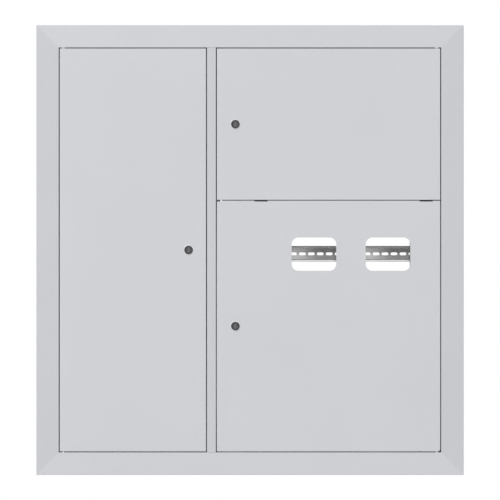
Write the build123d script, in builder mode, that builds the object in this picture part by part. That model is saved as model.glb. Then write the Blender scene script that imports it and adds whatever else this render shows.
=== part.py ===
from build123d import *
import os

# Recessed floor distribution board: a folded sheet casing let into a riser wall, a mitred face
# frame over its edge, and three lockable doors. Millimetres, +Z up, the front looks along -Y.
# The origin is the centre of the four rear fixing holes, on the casing's rear plane.

# Overall size and sheet
board_width = 950.0
board_height = 1000.0
board_depth = 140.0
sheet = 1.2
fold_radius = 1.5

# Face frame
frame_face = 50.0
frame_edge_return = 12.0
door_recess = 22.0
stop_lip = 14.0

# Casing
frame_overhang = 30.0
weld_flange = 15.0
rear_flange = 30.0

# Division of the front
left_opening = 329.4
mullion_face = 20.0
mullion_lip = 9.2
upper_door_height = 336.8
door_gap = 2.0
seam_gap = 1.6

# Doors
door_depth = 16.0
corner_relief = 7.0
top_slot_depth = 1.8
lower_door_corner_radius = 5.5
stiffener_inset = 140.0
stiffener_web = 40.0
stiffener_depth = 12.0
stiffener_end = 40.0
door_stud_radius = 3.0
door_stud_length = 11.0
door_stud_inset = 30.0
door_stud_rise = 40.0

# Hinges
hinge_pin_radius = 2.0
hinge_pin_inset = 8.0
hinge_pin_setback = 5.0
hinge_play = 0.1
hinge_pin_reach = 8.0
bush_wall = 1.0
bush_rim = 1.5
bush_rim_height = 1.4
pin_head_rim = 1.5
pin_head_height = 1.5

# Crossbar behind the seam of the two right doors
crossbar_height = 32.0
crossbar_depth = 25.0
tie_slot_length = 29.3
tie_slot_height = 6.0
tie_slot_inset_left = 98.2
tie_slot_inset_right = 31.1
sight_notch = 4.0

# Bracket that carries the right doors at the seam
bracket_tongue_width = 12.0
bracket_plate_height = 22.0
bracket_plate_width = 14.0
bracket_plate_shift = 1.0
bracket_nose = 0.4

# Locks
lock_inset_left = 38.9
lock_inset_right = 41.1
lock_bezel_radius = 11.8
lock_bezel_height = 0.7
lock_head_radius = 9.5
lock_head_height = 2.2
lock_barrel_radius = 8.0
lock_barrel_length = 19.0
lock_core_radius = 6.6
lock_core_recess = 2.2
lock_play = 0.05
lock_hole_play = 0.25
key_bar_width = 4.1
key_bar_length = 12.0
lock_nut_width = 22.0
lock_nut_height = 5.0
cam_gap = 0.8
cam_thickness = 3.0
cam_width = 16.0
cam_reach = 40.0
core_square = 8.0
core_square_play = 0.1
core_tail = 1.5
core_rivet = 1.0
key_bar_sink = 0.3

# Meter windows and their panes
window_width = 99.0
window_height = 74.0
window_radius = 15.0
window_pitch = 164.6
window_hinge_inset = 116.2
window_row_drop = 118.8
pane_margin = 8.0
pane_thickness = 2.0
pane_strip_height = 14.0
pane_strip_overlap = 6.0
pane_screw_radius = 1.5
pane_screw_head = 3.0
pane_nut_height = 2.4

# Mounting rails, 35 by 7.5
rail_height = 35.0
rail_depth = 7.5
rail_sheet = 1.0
rail_channel = 27.0
rail_slot_length = 15.0
rail_slot_height = 6.3
rail_pitch = 20.0
rail_slot_shift = 5.4
rail_front_setback = 70.5
meter_rail_length = 160.0
meter_rail_rise = 0.7
module_rail_inset = 43.3
rail_end_margin = 6.0
input_rail_length = 220.0

# Cross rails and uprights
hat_lip = 12.0
cross_rail_web = 26.0
cross_rail_depth = 14.0
cross_rail_end_play = 2.0
upright_web = 24.0
middle_upright_web = 36.0
upright_overlap = 25.0
upper_row_rise = 104.6
upper_row_pitch = 150.0
input_row_rise = 218.8
meter_cross_rise = 78.8

# Covers over the module rows
cover_sheet = 1.2
cover_setback = 33.6
cover_skirt = 10.0
module_slot_height = 46.0
module_cover_inset = 15.3
module_width = 17.6
module_cover_border = 55.0
module_cover_height = 290.0
input_cover_width = 236.0
input_cover_height = 130.0
input_slot_length = 100.0
post_width = 8.0
panel_screw_radius = 2.0
panel_screw_head = 4.0
panel_screw_head_height = 2.4
panel_screw_length = 10.0
screw_play = 0.1

# Terminal bars
bar_height = 10.0
bar_thickness = 8.0
bar_length = 190.0
bar_wire_hole = 2.6
bar_pitch = 16.0
bar_screw_count = 8
bar_screw_radius = 2.0
holder_height = 20.0
holder_width = 18.0
neutral_row_rise = 128.8
earth_row_rise = 96.8

# Low-current mounting plate
plate_width = 300.0
plate_margin = 108.8
plate_cross_inset = 30.0
plate_edge = 10.0
plate_slot_length = 40.0
plate_slot_width = 6.0
plate_rows = 8
plate_columns = 4

# Cable ways
riser_width = 160.0
riser_depth = 60.0
riser_radius = 8.0
trim_wall = 1.8
trim_lap = 3.0
cable_hole_radius = 20.0
divider_hole_end = 85.0
shelf_hole_spread = 0.54
grommet_wall = 3.0
grommet_rim = 3.5
grommet_rim_height = 2.5

bar_screw_grip = 3.0
bar_screw_rim = 0.8
bar_screw_head_height = 1.6
holder_taper = 4.0

# Fixing holes, earth stud and buffers
fixing_hole_radius = 4.5
fixing_edge = 15.0
fixing_end = 70.0
side_fixing_end = 170.0
side_fixing_setback = 60.0
earth_stud_drop = 28.0
earth_stud_radius = 4.0
earth_stud_length = 26.0
earth_nut_width = 13.0
earth_nut_height = 6.5
earth_nut_spread = 5.0
buffer_radius = 3.5
buffer_gap = 0.3
buffer_end = 60.0
buffer_stem_radius = 2.0
buffer_bead_radius = 2.8

# Planes and edges that the pieces share
front = -board_depth
half_width = board_width / 2
half_height = board_height / 2
opening_x = half_width - frame_face
opening_z = half_height - frame_face
stop_plane = front + door_recess
lip_back = stop_plane + sheet
face_back = front + sheet
casing_x = half_width - frame_overhang
casing_z = half_height - frame_overhang
inner_x = casing_x - sheet
inner_z = casing_z - sheet
input_row_height = input_row_rise - inner_z
neutral_row = neutral_row_rise - inner_z
earth_row = earth_row_rise - inner_z
plate_height = 2 * (inner_z - plate_margin)
plate_cross = plate_height / 2 - plate_cross_inset
fixing_height = casing_z - fixing_end
side_fixing_height = casing_z - side_fixing_end
mullion_left = -opening_x + left_opening
mullion_right = mullion_left + mullion_face
mullion_x = (mullion_left + mullion_right) / 2
divider_left = mullion_x - sheet / 2
divider_right = mullion_x + sheet / 2
left_door_left = -opening_x + door_gap
left_door_right = mullion_left - door_gap
right_door_left = mullion_right + door_gap
right_door_right = opening_x - door_gap
door_top = opening_z - door_gap
upper_door_bottom = door_top - upper_door_height
lower_door_top = upper_door_bottom - seam_gap
seam_z = (upper_door_bottom + lower_door_top) / 2
pin_y = front + hinge_pin_setback
left_pin_x = left_door_left + hinge_pin_inset
right_pin_x = right_door_right - hinge_pin_inset
right_centre = (right_door_left + right_door_right) / 2
module_rail_length = right_door_right - right_door_left - 2 * module_rail_inset
module_cover_width = right_door_right - right_door_left - 2 * module_cover_inset
modules_in_row = int((module_cover_width - 2 * module_cover_border) / module_width)
module_slot_length = modules_in_row * module_width
left_lock = (left_door_right - lock_inset_left, 0.0)
upper_lock = (right_door_left + lock_inset_right, (upper_door_bottom + door_top) / 2)
lower_lock = (right_door_left + lock_inset_right, (lower_door_top - door_top) / 2)
window_z = lower_door_top - window_row_drop
window_x = (
    right_door_right - window_hinge_inset - window_pitch,
    right_door_right - window_hinge_inset,
)


def folded_section(plane, points, side=Side.LEFT, thickness=sheet):
    """Closed section of a folded sheet: a path with rounded folds, given its thickness."""
    with BuildSketch(plane) as section:
        with BuildLine():
            FilletPolyline(*points, radius=fold_radius)
            offset(amount=thickness, side=side)
        make_face()
    return section.sketch


def hat_section(plane, centre, web, depth, base):
    """Hat section standing on the line at base and rising by depth, with a lip each side.

    The plane's first axis runs across the hat and its second towards the wall behind.
    """
    half = web / 2
    points = [
        (centre - half - hat_lip, base),
        (centre - half, base),
        (centre - half, base - depth + sheet),
        (centre + half, base - depth + sheet),
        (centre + half, base),
        (centre + half + hat_lip, base),
    ]
    return folded_section(plane, points, Side.RIGHT)


def corner_plane(x, z):
    """Vertical cutting plane on the diagonal through a corner, facing away from the centre."""
    toward_side = 1 if x < 0 else -1
    return Plane(origin=(x, 0, z), z_dir=(toward_side, 0, 1 if z > 0 else -1))


# Face frame: four folded strips with a mitred joint at each corner. Each has an edge return
# to the wall, the visible face, a return beside the doors and a lip that the doors close on.
frame_profile = [
    (0, front + frame_edge_return),
    (0, front),
    (frame_face, front),
    (frame_face, stop_plane),
    (frame_face + stop_lip, stop_plane),
]

with BuildPart() as frame_left:
    extrude(
        folded_section(Plane.XY, [(u - half_width, y) for u, y in frame_profile]),
        amount=half_height,
        both=True,
    )
    split(bisect_by=corner_plane(-half_width, half_height), keep=Keep.BOTTOM)
    split(bisect_by=corner_plane(-half_width, -half_height), keep=Keep.BOTTOM)
frame_left.part.label = "frame_left"

with BuildPart() as frame_right:
    mirror(frame_left.part, about=Plane.YZ)
frame_right.part.label = "frame_right"

# The top strip also holds the bushes of the two upper hinge pins.
bush_hole_radius = hinge_pin_radius + hinge_play + bush_wall
top_pins = [(left_pin_x, pin_y), (right_pin_x, pin_y)]

with BuildPart() as frame_plain:
    extrude(
        folded_section(Plane.YZ, [(y, half_height - u) for u, y in frame_profile]),
        amount=half_width,
        both=True,
    )
    split(bisect_by=corner_plane(-half_width, half_height), keep=Keep.TOP)
    split(bisect_by=corner_plane(half_width, half_height), keep=Keep.TOP)

with BuildPart() as frame_top:
    add(frame_plain.part)
    with BuildSketch(Plane.XY.offset(opening_z)):
        with Locations(*top_pins):
            Circle(bush_hole_radius)
    extrude(amount=sheet, mode=Mode.SUBTRACT)
frame_top.part.label = "frame_top"

with BuildPart() as frame_bottom:
    mirror(frame_plain.part, about=Plane.XY)
    with BuildSketch(Plane.XY.offset(-opening_z)):
        with Locations(*top_pins):
            Circle(hinge_pin_radius)
    extrude(amount=-sheet, mode=Mode.SUBTRACT)
frame_bottom.part.label = "frame_bottom"

# Centre mullion: a hat section welded between the top and bottom strips. Its lips stop short
# of the strips' own lips.
mullion_profile = [
    (mullion_left - mullion_lip, stop_plane),
    (mullion_left, stop_plane),
    (mullion_left, front),
    (mullion_right, front),
    (mullion_right, stop_plane),
    (mullion_right + mullion_lip, stop_plane),
]
buffer_z = {
    "left": (buffer_end - door_top, door_top - buffer_end),
    "right": (
        buffer_end - door_top,
        lower_door_top - buffer_end,
        upper_door_bottom + buffer_end,
        door_top - buffer_end,
    ),
}
buffer_x = {
    "left": mullion_left - (mullion_lip + fold_radius) / 2,
    "right": mullion_right + (mullion_lip + fold_radius) / 2,
}
buffer_points = [(buffer_x[side], z) for side in ("left", "right") for z in buffer_z[side]]

with BuildPart() as centre_mullion:
    extrude(folded_section(Plane.XY, mullion_profile), amount=opening_z, both=True)
    for z in (-opening_z, opening_z):
        with Locations((mullion_x, stop_plane, z)):
            Box(mullion_face + 4 * mullion_lip, 2 * fold_radius, 2 * stop_lip, mode=Mode.SUBTRACT)
    with BuildSketch(Plane.XZ.offset(-lip_back)):
        with Locations(*buffer_points):
            Circle(buffer_stem_radius + screw_play)
    extrude(amount=2 * sheet, mode=Mode.SUBTRACT)
centre_mullion.part.label = "centre_mullion"

# Crossbar: a closed folded section behind the seam of the right doors. It lies flush with the
# stop lips, its front wall is cut back for them, and it has two slots for cable ties.
crossbar_back = stop_plane + crossbar_depth
lip_right_edge = mullion_right + mullion_lip
tie_slot_x = (right_door_left + tie_slot_inset_left, right_door_right - tie_slot_inset_right)
frame_lip_edge = opening_x - stop_lip

with BuildPart() as seam_crossbar:
    with BuildSketch(Plane.YZ.offset(divider_right)):
        with Locations(((stop_plane + crossbar_back) / 2, seam_z)):
            Rectangle(crossbar_depth, crossbar_height)
            Rectangle(crossbar_depth - 2 * sheet, crossbar_height - 2 * sheet, mode=Mode.SUBTRACT)
    extrude(amount=inner_x - divider_right)
    for low, high in ((divider_right, lip_right_edge), (frame_lip_edge, inner_x)):
        with Locations(((low + high) / 2, stop_plane + sheet / 2, seam_z)):
            Box(high - low, sheet, crossbar_height, mode=Mode.SUBTRACT)
    with Locations((lip_right_edge + sight_notch / 2, stop_plane, seam_z)):
        Box(sight_notch, 2 * crossbar_depth + sheet, tie_slot_height, mode=Mode.SUBTRACT)
    for x in tie_slot_x:
        with Locations((x, stop_plane, seam_z)):
            Box(tie_slot_length, 2 * sheet, tie_slot_height, mode=Mode.SUBTRACT)
seam_crossbar.part.label = "seam_crossbar"

# Casing walls: a flange welded behind the face frame, the wall, and a flange against the
# niche. The rear is open. The side walls hold the fixing holes, the others the cable ways.
wall_profile = [
    (-weld_flange, face_back),
    (sheet, face_back),
    (sheet, -sheet),
    (rear_flange, -sheet),
]
riser_y = -board_depth / 2 + 8.0
left_centre = (divider_left - inner_x) / 2
right_room = (inner_x - divider_right) / 2
riser_x = [
    left_centre,
    divider_right + right_room * 0.5,
    divider_right + right_room * 1.5,
]

with BuildPart() as casing_left_wall:
    extrude(
        folded_section(Plane.XY, [(u - casing_x, y) for u, y in wall_profile]),
        amount=casing_z + weld_flange,
        both=True,
    )
    split(bisect_by=corner_plane(-casing_x, casing_z), keep=Keep.BOTTOM)
    split(bisect_by=corner_plane(-casing_x, -casing_z), keep=Keep.BOTTOM)
    with BuildSketch(Plane.XZ):
        with Locations(*[(fixing_edge - casing_x, side * fixing_height) for side in (-1, 1)]):
            Circle(fixing_hole_radius)
    extrude(amount=sheet, mode=Mode.SUBTRACT)
    with BuildSketch(Plane.YZ.offset(-casing_x)):
        with Locations(*[(-side_fixing_setback, side * side_fixing_height) for side in (-1, 1)]):
            Circle(fixing_hole_radius)
    extrude(amount=sheet, mode=Mode.SUBTRACT)
casing_left_wall.part.label = "casing_left_wall"

with BuildPart() as casing_right_wall:
    mirror(casing_left_wall.part, about=Plane.YZ)
casing_right_wall.part.label = "casing_right_wall"

with BuildPart() as casing_top_wall:
    extrude(
        folded_section(Plane.YZ, [(y, casing_z - u) for u, y in wall_profile]),
        amount=casing_x + weld_flange,
        both=True,
    )
    split(bisect_by=corner_plane(-casing_x, casing_z), keep=Keep.TOP)
    split(bisect_by=corner_plane(casing_x, casing_z), keep=Keep.TOP)
    with BuildSketch(Plane.XY.offset(inner_z)):
        with Locations(*[(x, riser_y) for x in riser_x]):
            RectangleRounded(riser_width, riser_depth, riser_radius)
    extrude(amount=sheet, mode=Mode.SUBTRACT)
casing_top_wall.part.label = "casing_top_wall"

with BuildPart() as casing_bottom_wall:
    mirror(casing_top_wall.part, about=Plane.XY)
casing_bottom_wall.part.label = "casing_bottom_wall"

# Riser trims: rubber edging round each cable way, grooved for the wall's edge.
trim_height = sheet + 2 * trim_wall

with BuildPart() as riser_trims:
    for z in (inner_z + sheet / 2, -inner_z - sheet / 2):
        with BuildSketch(Plane.XY.offset(z - trim_height / 2)):
            with Locations(*[(x, riser_y) for x in riser_x]):
                RectangleRounded(
                    riser_width + 2 * trim_lap,
                    riser_depth + 2 * trim_lap,
                    riser_radius + trim_lap,
                )
                RectangleRounded(
                    riser_width - 2 * trim_wall,
                    riser_depth - 2 * trim_wall,
                    riser_radius - trim_wall,
                    mode=Mode.SUBTRACT,
                )
        extrude(amount=trim_height)
        with BuildSketch(Plane.XY.offset(z - sheet / 2)):
            with Locations(*[(x, riser_y) for x in riser_x]):
                RectangleRounded(
                    riser_width + 4 * trim_lap,
                    riser_depth + 4 * trim_lap,
                    riser_radius + 2 * trim_lap,
                )
                RectangleRounded(riser_width, riser_depth, riser_radius, mode=Mode.SUBTRACT)
        extrude(amount=sheet, mode=Mode.SUBTRACT)
riser_trims.part.label = "riser_trims"

# Vertical divider: the sheet between the low-current side and the power side. Its front edge
# stands inside the mullion, and its rear flange carries the cross rails.
divider_holes = [(riser_y, side * (inner_z - divider_hole_end)) for side in (-1, 1)]

with BuildPart() as vertical_divider:
    with BuildSketch(Plane.YZ.offset(divider_left)):
        with Locations(((lip_back - sheet) / 2, 0)):
            Rectangle(-sheet - lip_back, 2 * inner_z)
        with Locations(((face_back + lip_back) / 2, 0)):
            Rectangle(lip_back - face_back, 2 * (opening_z - stop_lip - 2))
        with Locations(*divider_holes):
            Circle(cable_hole_radius, mode=Mode.SUBTRACT)
    extrude(amount=sheet)
    with Locations((mullion_x, -sheet, inner_z), (mullion_x, -sheet, -inner_z)):
        Box(2 * sheet, 2 * fold_radius, 2 * fold_radius, mode=Mode.SUBTRACT)
    with Locations((divider_right - rear_flange / 2, -sheet / 2, 0)):
        Box(rear_flange, sheet, 2 * (casing_z - rear_flange - 2))
vertical_divider.part.label = "vertical_divider"

# Horizontal divider: a tray under the crossbar, with a flange down at each end and at the
# rear. It parts the module rows above from the meters below.
shelf_top = seam_z - crossbar_height / 2
shelf_hole_shift = right_room * shelf_hole_spread
shelf_holes = [(right_centre + side * shelf_hole_shift, riser_y) for side in (-1, 0, 1)]
shelf_flange = 15.0

with BuildPart() as horizontal_divider:
    extrude(
        folded_section(
            Plane.XZ.offset(-lip_back),
            [
                (divider_right, shelf_top - shelf_flange),
                (divider_right, shelf_top),
                (inner_x, shelf_top),
                (inner_x, shelf_top - shelf_flange),
            ],
            Side.RIGHT,
        ),
        amount=lip_back + sheet + fold_radius,
    )
    with BuildSketch(Plane.XY.offset(shelf_top)):
        with Locations(*shelf_holes):
            Circle(cable_hole_radius)
    extrude(amount=-sheet, mode=Mode.SUBTRACT)
horizontal_divider.part.label = "horizontal_divider"

# Grommets: rubber rings in the cable holes of both dividers.
with BuildPart() as grommets:
    for plane, points in (
        (Plane.YZ.offset(mullion_x), divider_holes),
        (Plane.XY.offset(shelf_top - sheet / 2), shelf_holes),
    ):
        with BuildSketch(plane):
            with Locations(*points):
                Circle(cable_hole_radius + grommet_rim)
                Circle(cable_hole_radius - grommet_wall, mode=Mode.SUBTRACT)
        extrude(amount=sheet / 2 + grommet_rim_height, both=True)
        with BuildSketch(plane):
            with Locations(*points):
                Circle(cable_hole_radius + 2 * grommet_rim)
                Circle(cable_hole_radius, mode=Mode.SUBTRACT)
        extrude(amount=sheet / 2, both=True, mode=Mode.SUBTRACT)
grommets.part.label = "grommets"

# Cross rails: hat sections across the open rear, flat against the rear flanges. Four stand in
# the power side and two in the low-current side.
cross_rail_front = -sheet - cross_rail_depth
cross_rail_half = cross_rail_web / 2 + hat_lip
module_cross_low = seam_z + crossbar_height / 2 + cross_rail_half + 12.0
module_cross_high = inner_z - cross_rail_half - 14.0
meter_cross_high = shelf_top - shelf_flange - cross_rail_half
meter_cross_low = meter_cross_rise - inner_z

with BuildPart() as right_cross_rails:
    for z in (meter_cross_low, meter_cross_high, module_cross_low, module_cross_high):
        extrude(
            hat_section(
                Plane(origin=(divider_right, 0, 0), x_dir=(0, 0, 1), z_dir=(-1, 0, 0)),
                z,
                cross_rail_web,
                cross_rail_depth,
                -sheet,
            ),
            amount=divider_right - inner_x + cross_rail_end_play,
        )
right_cross_rails.part.label = "right_cross_rails"

with BuildPart() as left_cross_rails:
    for z in (-plate_cross, plate_cross):
        extrude(
            hat_section(
                Plane(origin=(cross_rail_end_play - inner_x, 0, 0), x_dir=(0, 0, 1), z_dir=(-1, 0, 0)),
                z,
                cross_rail_web,
                cross_rail_depth,
                -sheet,
            ),
            amount=cross_rail_end_play - inner_x - divider_left,
        )
left_cross_rails.part.label = "left_cross_rails"

# Uprights: hat sections on the cross rails. The meter uprights stand outside the windows, and
# the rails are screwed to their webs.
rail_back = front + rail_front_setback + rail_depth
upright_depth = cross_rail_front - rail_back
window_gap_centre = sum(window_x) / 2
rail_x = [x - rail_slot_shift for x in window_x]
meter_upright_x = [
    window_x[0] - window_width / 2 - hat_lip - upright_web / 2 - 2.0,
    window_gap_centre,
    window_x[1] + window_width / 2 + hat_lip + upright_web / 2 + 1.0,
]
module_upright_x = [
    right_centre + side * (module_rail_length / 2 - rail_end_margin) for side in (-1, 1)
]

with BuildPart() as meter_uprights:
    for x, web in zip(meter_upright_x, (upright_web, middle_upright_web, upright_web)):
        low = meter_cross_low - upright_overlap
        extrude(
            hat_section(Plane.XY.offset(low), x, web, upright_depth, cross_rail_front),
            amount=meter_cross_high + upright_overlap - low,
        )
meter_uprights.part.label = "meter_uprights"

with BuildPart() as module_uprights:
    for x in module_upright_x:
        low = module_cross_low - upright_overlap
        extrude(
            hat_section(Plane.XY.offset(low), x, upright_web, upright_depth, cross_rail_front),
            amount=module_cross_high + upright_overlap - low,
        )
module_uprights.part.label = "module_uprights"

# Mounting rails: top-hat rails for meters and modules, with a row of slots in the base.


def mounting_rail(centre, length, z, screw_x):
    """One top-hat rail lying along X with its base on the uprights, slotted along its length."""
    lip = rail_height / 2
    wall = rail_channel / 2
    lip_rear = rail_back - rail_depth + rail_sheet
    with BuildPart() as rail:
        extrude(
            folded_section(
                Plane.YZ.offset(centre - length / 2),
                [
                    (lip_rear, z + lip),
                    (lip_rear, z + wall),
                    (rail_back, z + wall),
                    (rail_back, z - wall),
                    (lip_rear, z - wall),
                    (lip_rear, z - lip),
                ],
                Side.RIGHT,
                rail_sheet,
            ),
            amount=length,
        )
        slots = int((length / 2 - rail_slot_length) / rail_pitch)
        with BuildSketch(Plane.XZ.offset(-rail_back)):
            with Locations((centre, z)):
                with GridLocations(rail_pitch, 0, 2 * slots + 1, 1):
                    SlotOverall(rail_slot_length, rail_slot_height)
            with Locations(*[(x, z) for x in screw_x]):
                Circle(panel_screw_radius + screw_play)
        extrude(amount=rail_sheet, mode=Mode.SUBTRACT)
    return rail.part


meter_rail_z = window_z + meter_rail_rise
module_rail_z = (seam_z + upper_row_rise, seam_z + upper_row_rise + upper_row_pitch)
input_rail_x = (meter_upright_x[0] + meter_upright_x[1]) / 2 + 20.0
meter_screw_x = [
    [x + side * (meter_rail_length / 2 - rail_end_margin) for side in (-1, 1)] for x in rail_x
]

with BuildPart() as left_meter_rail:
    add(mounting_rail(rail_x[0], meter_rail_length, meter_rail_z, meter_screw_x[0]))
left_meter_rail.part.label = "left_meter_rail"

with BuildPart() as right_meter_rail:
    add(mounting_rail(rail_x[1], meter_rail_length, meter_rail_z, meter_screw_x[1]))
right_meter_rail.part.label = "right_meter_rail"

with BuildPart() as lower_module_rail:
    add(mounting_rail(right_centre, module_rail_length, module_rail_z[0], module_upright_x))
lower_module_rail.part.label = "lower_module_rail"

with BuildPart() as upper_module_rail:
    add(mounting_rail(right_centre, module_rail_length, module_rail_z[1], module_upright_x))
upper_module_rail.part.label = "upper_module_rail"

with BuildPart() as input_rail:
    add(mounting_rail(input_rail_x, input_rail_length, input_row_height, meter_upright_x[:2]))
input_rail.part.label = "input_rail"

# Covers: folded pans with a slot for each row of modules. They stand on posts screwed to the
# uprights, so that only the modules' fronts can be reached.
cover_front = front + cover_setback
cover_back = cover_front + cover_sheet
module_cover_z = sum(module_rail_z) / 2


def cover_pan(x, z, width, height, slot_length, slot_rows, screw_points):
    """A pan open to the rear, with module slots and the screw holes of its posts."""
    with BuildPart() as pan:
        with BuildSketch(Plane.XZ.offset(-cover_front)):
            with Locations((x, z)):
                Rectangle(width, height)
        extrude(amount=-cover_skirt)
        fillet(pan.faces().sort_by(Axis.Y)[0].edges(), radius=fold_radius)
        offset(amount=-cover_sheet, openings=pan.faces().sort_by(Axis.Y)[-1])
        with BuildSketch(Plane.XZ.offset(-cover_back)):
            with Locations(*[(x, row) for row in slot_rows]):
                Rectangle(slot_length, module_slot_height)
            with Locations(*screw_points):
                Circle(panel_screw_radius + screw_play)
        extrude(amount=cover_sheet, mode=Mode.SUBTRACT)
    return pan.part


module_posts = [
    (x, module_cover_z + side * (module_cover_height / 2 - post_width))
    for x in module_upright_x
    for side in (-1, 1)
]
input_posts = [
    (x, input_row_height + side * (input_cover_height / 2 - 2 * post_width))
    for x in meter_upright_x[:2]
    for side in (-1, 1)
]

with BuildPart() as module_cover:
    add(
        cover_pan(
            right_centre,
            module_cover_z,
            module_cover_width,
            module_cover_height,
            module_slot_length,
            module_rail_z,
            module_posts,
        )
    )
module_cover.part.label = "module_cover"

with BuildPart() as input_cover:
    add(
        cover_pan(
            (input_posts[0][0] + input_posts[-1][0]) / 2,
            input_row_height,
            input_cover_width,
            input_cover_height,
            input_slot_length,
            (input_row_height,),
            input_posts,
        )
    )
input_cover.part.label = "input_cover"

# Cover posts: hexagonal spacers between the uprights' webs and the covers.
with BuildPart() as cover_posts:
    with BuildSketch(Plane.XZ.offset(-rail_back)):
        with Locations(*module_posts, *input_posts):
            RegularPolygon(post_width / 2, 6, major_radius=False)
    extrude(amount=rail_back - cover_back)
    with BuildSketch(Plane.XZ.offset(-cover_back)):
        with Locations(*module_posts, *input_posts):
            Circle(panel_screw_radius + screw_play)
    extrude(amount=-panel_screw_length, mode=Mode.SUBTRACT)
cover_posts.part.label = "cover_posts"


def front_screws(y, points, shank_radius, shank_length, head_radius, head_height):
    """Cheese-head screws seen from the front: heads on the plane y, shanks going rearward."""
    with BuildPart() as screws:
        with BuildSketch(Plane.XZ.offset(-y)):
            with Locations(*points):
                Circle(head_radius)
        extrude(amount=head_height)
        with BuildSketch(Plane.XZ.offset(-y)):
            with Locations(*points):
                Circle(shank_radius)
        extrude(amount=-shank_length)
    return screws.part


# Low-current plate: a perforated pan on the two cross rails behind the left door.
plate_front = cross_rail_front - sheet
plate_screw_x = (left_centre - plate_width / 2 + 20.0, left_centre + plate_width / 2 - 20.0)
plate_screws = [(x, side * plate_cross) for x in plate_screw_x for side in (-1, 1)]

with BuildPart() as low_current_plate:
    extrude(
        folded_section(
            Plane.XY.offset(-plate_height / 2),
            [
                (left_centre - plate_width / 2, plate_front - plate_edge),
                (left_centre - plate_width / 2, cross_rail_front),
                (left_centre + plate_width / 2, cross_rail_front),
                (left_centre + plate_width / 2, plate_front - plate_edge),
            ],
            Side.RIGHT,
        ),
        amount=plate_height,
    )
    with BuildSketch(Plane.XZ.offset(-cross_rail_front)):
        with Locations((left_centre, 0)):
            with GridLocations(
                (plate_width - 40.0) / plate_columns,
                (plate_height - 100.0) / plate_rows,
                plate_columns,
                plate_rows,
            ):
                SlotOverall(plate_slot_length, plate_slot_width)
        with Locations(*plate_screws):
            Circle(panel_screw_radius + screw_play)
    extrude(amount=sheet, mode=Mode.SUBTRACT)
low_current_plate.part.label = "low_current_plate"

# Panel screws: they hold the covers to the posts.
with BuildPart() as panel_screws:
    add(
        front_screws(
            cover_front,
            module_posts + input_posts,
            panel_screw_radius,
            panel_screw_length - 1.0,
            panel_screw_head,
            panel_screw_head_height,
        )
    )
panel_screws.part.label = "panel_screws"

# Plate screws: short screws through the plate; the cross rails are tapped for them.
with BuildPart() as plate_screw_set:
    add(
        front_screws(
            plate_front,
            plate_screws,
            panel_screw_radius,
            sheet,
            panel_screw_head,
            panel_screw_head_height,
        )
    )
plate_screw_set.part.label = "plate_screws"

# Rail screws: they hold every top-hat rail to the upright behind each of its ends.
rail_screw_points = [(x, z) for x in module_upright_x for z in module_rail_z]
rail_screw_points += [(x, input_row_height) for x in meter_upright_x[:2]]
rail_screw_points += [(x, meter_rail_z) for pair in meter_screw_x for x in pair]

with BuildPart() as rail_screws:
    add(
        front_screws(
            rail_back - rail_sheet,
            rail_screw_points,
            panel_screw_radius,
            rail_sheet,
            panel_screw_head,
            panel_screw_head_height,
        )
    )
rail_screws.part.label = "rail_screws"

# Terminal bars: square brass bars on moulded holders, with a hole for each wire and a screw
# that clamps it from the front.
bar_back = rail_back - holder_height
bar_front = bar_back - bar_thickness
bar_x = (meter_upright_x[0] + meter_upright_x[1]) / 2
bar_wire_x = [bar_x + (i - (bar_screw_count - 1) / 2) * bar_pitch for i in range(bar_screw_count)]
bar_rows = {"neutral_bar": neutral_row, "earth_bar": earth_row}


def terminal_bar(z):
    """One bar along X: wire holes through its height and tapped holes from the front."""
    with BuildPart() as bar:
        with Locations((bar_x, (bar_back + bar_front) / 2, z)):
            Box(bar_length, bar_thickness, bar_height)
        with BuildSketch(Plane.XY.offset(z - bar_height / 2)):
            with Locations(*[(x, (bar_back + bar_front) / 2) for x in bar_wire_x]):
                Circle(bar_wire_hole)
        extrude(amount=bar_height, mode=Mode.SUBTRACT)
        with BuildSketch(Plane.XZ.offset(-bar_front)):
            with Locations(*[(x, z) for x in bar_wire_x]):
                Circle(bar_screw_radius + screw_play)
        extrude(amount=-bar_thickness / 2, mode=Mode.SUBTRACT)
    return bar.part


with BuildPart() as neutral_bar:
    add(terminal_bar(neutral_row))
neutral_bar.part.label = "neutral_bar"

with BuildPart() as earth_bar:
    add(terminal_bar(earth_row))
earth_bar.part.label = "earth_bar"

with BuildPart() as bar_holders:
    with BuildSketch(Plane.XZ.offset(-rail_back)):
        with Locations(*[(x, z) for x in meter_upright_x[:2] for z in bar_rows.values()]):
            Rectangle(holder_width, holder_width)
    extrude(amount=holder_height, taper=holder_taper)
bar_holders.part.label = "bar_holders"

with BuildPart() as bar_screws:
    add(
        front_screws(
            bar_front,
            [(x, z) for x in bar_wire_x for z in bar_rows.values()],
            bar_screw_radius,
            bar_screw_grip,
            bar_screw_radius + bar_screw_rim,
            bar_screw_head_height,
        )
    )
bar_screws.part.label = "bar_screws"

# Earth stud: a welded stud on the right wall, with two nuts that clamp the earth lugs.
earth_stud_z = earth_row - earth_stud_drop
earth_stud_y = riser_y

with BuildPart() as earth_stud:
    with BuildSketch(Plane.YZ.offset(inner_x)):
        with Locations((earth_stud_y, earth_stud_z)):
            Circle(earth_stud_radius)
    extrude(amount=-earth_stud_length)
    for shift in (0.0, earth_nut_height + earth_nut_spread):
        with BuildSketch(Plane.YZ.offset(inner_x - shift)):
            with Locations((earth_stud_y, earth_stud_z)):
                RegularPolygon(earth_nut_width / 2, 6, major_radius=False)
                Circle(earth_stud_radius + screw_play, mode=Mode.SUBTRACT)
        extrude(amount=-earth_nut_height)
earth_stud.part.label = "earth_stud"

# Buffers: rubber studs in the mullion's lips, just clear of the closed doors' edges.
door_back = front + door_depth

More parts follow.
